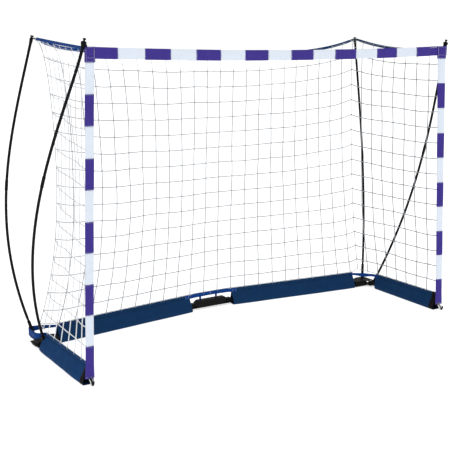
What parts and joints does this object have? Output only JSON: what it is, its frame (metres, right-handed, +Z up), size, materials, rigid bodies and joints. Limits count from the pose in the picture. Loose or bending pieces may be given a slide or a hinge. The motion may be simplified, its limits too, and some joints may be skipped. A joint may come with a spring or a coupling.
{
  "type": "folding goal",
  "caption": "Free-standing folding ball-game goal: hinged steel base, bowed poles in sockets, striped fabric mouth, nets and webbing straps.",
  "frame": {"origin": "middle of the footprint, on the ground", "axes": "+X along the crossbar to the right as seen from the field, +Y from the mouth to the back of the goal, +Z up"},
  "size_m": [3.2938, 1.1406, 2.1377],
  "materials": {
    "black_steel": "satin black powder coat",
    "bolt": "zinc plated",
    "pole_fibre": "satin black fibreglass",
    "black_plastic": "moulded, fine grain",
    "sleeve_fabric": "coated woven polyester, navy",
    "mouth_fabric": "woven polyester in purple and white stripes",
    "net_cord": "knotless white netting",
    "webbing": "woven strap, bright blue",
    "white_webbing": "woven tape, white"
  },
  "bodies": {
    "centre": {"centre_bracket": "black_steel", "centre_bolt_left": "bolt", "centre_bolt_right": "bolt", "centre_strap": "webbing"},
    "rear_left": {"rear_tube_left": "black_steel", "corner_bracket_left": "black_steel", "corner_bolt_left": "bolt", "corner_foot_left": "black_plastic", "rear_sleeve_left": "sleeve_fabric", "rear_net_left": "net_cord", "rear_top_strap_left": "webbing", "corner_strap_left": "webbing", "roof_net_left": "net_cord", "rear_pole_socket_left": "black_steel"},
    "rear_right": {"rear_tube_right": "black_steel", "corner_bracket_right": "black_steel", "corner_bolt_right": "bolt", "corner_foot_right": "black_plastic", "rear_sleeve_right": "sleeve_fabric", "rear_net_right": "net_cord", "rear_top_strap_right": "webbing", "corner_strap_right": "webbing", "roof_net_right": "net_cord", "rear_pole_socket_right": "black_steel"},
    "side_left": {"side_tube_left": "black_steel", "tube_cap_left": "black_plastic", "post_hook_left": "black_steel", "side_sleeve_left": "sleeve_fabric", "post_left": "mouth_fabric", "post_loop_left": "white_webbing", "crossbar_left": "mouth_fabric", "side_net_left": "net_cord", "side_top_strap_left": "webbing", "front_pole_socket_left": "black_steel"},
    "side_right": {"side_tube_right": "black_steel", "tube_cap_right": "black_plastic", "post_hook_right": "black_steel", "side_sleeve_right": "sleeve_fabric", "post_right": "mouth_fabric", "post_loop_right": "white_webbing", "crossbar_right": "mouth_fabric", "side_net_right": "net_cord", "side_top_strap_right": "webbing", "front_pole_socket_right": "black_steel"},
    "front_pole_left_body": {"front_pole_lower_left": "pole_fibre", "front_pole_upper_left": "pole_fibre", "front_pole_ferrule_left": "black_steel", "front_pole_cap_left": "black_plastic"},
    "rear_pole_left_body": {"rear_pole_lower_left": "pole_fibre", "rear_pole_upper_left": "pole_fibre", "rear_pole_ferrule_left": "black_steel", "rear_pole_cap_left": "black_plastic"},
    "front_pole_right_body": {"front_pole_lower_right": "pole_fibre", "front_pole_upper_right": "pole_fibre", "front_pole_ferrule_right": "black_steel", "front_pole_cap_right": "black_plastic"},
    "rear_pole_right_body": {"rear_pole_lower_right": "pole_fibre", "rear_pole_upper_right": "pole_fibre", "rear_pole_ferrule_right": "black_steel", "rear_pole_cap_right": "black_plastic"}
  },
  "joints": [
    {"name": "rear_fold_left", "type": "hinge", "parent": "centre", "child": "rear_left", "pos_m": [-0.16, 0.5004, 0.034], "axis": [0, 0, 1], "range_deg": [0, 75], "deforming": ["rear_top_strap_left", "roof_net_left", "centre_strap"]},
    {"name": "rear_fold_right", "type": "hinge", "parent": "centre", "child": "rear_right", "pos_m": [0.16, 0.5004, 0.034], "axis": [0, 0, 1], "range_deg": [-75, 0], "deforming": ["rear_top_strap_right", "roof_net_right"]},
    {"name": "side_fold_left", "type": "hinge", "parent": "rear_left", "child": "side_left", "pos_m": [-1.478, 0.2734, 0.034], "axis": [0, 0, 1], "range_deg": [0, 92.4], "deforming": ["crossbar_left", "side_net_left", "side_top_strap_left", "corner_strap_left"]},
    {"name": "side_fold_right", "type": "hinge", "parent": "rear_right", "child": "side_right", "pos_m": [1.478, 0.2734, 0.034], "axis": [0, 0, 1], "range_deg": [-92.4, 0], "deforming": ["crossbar_right", "side_net_right", "side_top_strap_right", "corner_strap_right"]},
    {"name": "front_pole_left_lift", "type": "slide", "parent": "side_left", "child": "front_pole_left_body", "axis": [-0.331, -0.2723, 0.9035], "range_m": [0, 0.06]},
    {"name": "rear_pole_left_lift", "type": "slide", "parent": "rear_left", "child": "rear_pole_left_body", "axis": [-0.262, 0.2657, 0.9278], "range_m": [0, 0.06]},
    {"name": "front_pole_right_lift", "type": "slide", "parent": "side_right", "child": "front_pole_right_body", "axis": [0.331, -0.2723, 0.9035], "range_m": [0, 0.06]},
    {"name": "rear_pole_right_lift", "type": "slide", "parent": "rear_right", "child": "rear_pole_right_body", "axis": [0.262, 0.2657, 0.9278], "range_m": [0, 0.06]}
  ],
  "couplings": [
    {"joint": "rear_fold_right", "follows": "rear_fold_left", "ratio": -1},
    {"joint": "side_fold_left", "follows": "rear_fold_left", "ratio": 1.232},
    {"joint": "side_fold_right", "follows": "rear_fold_left", "ratio": -1.232}
  ]
}
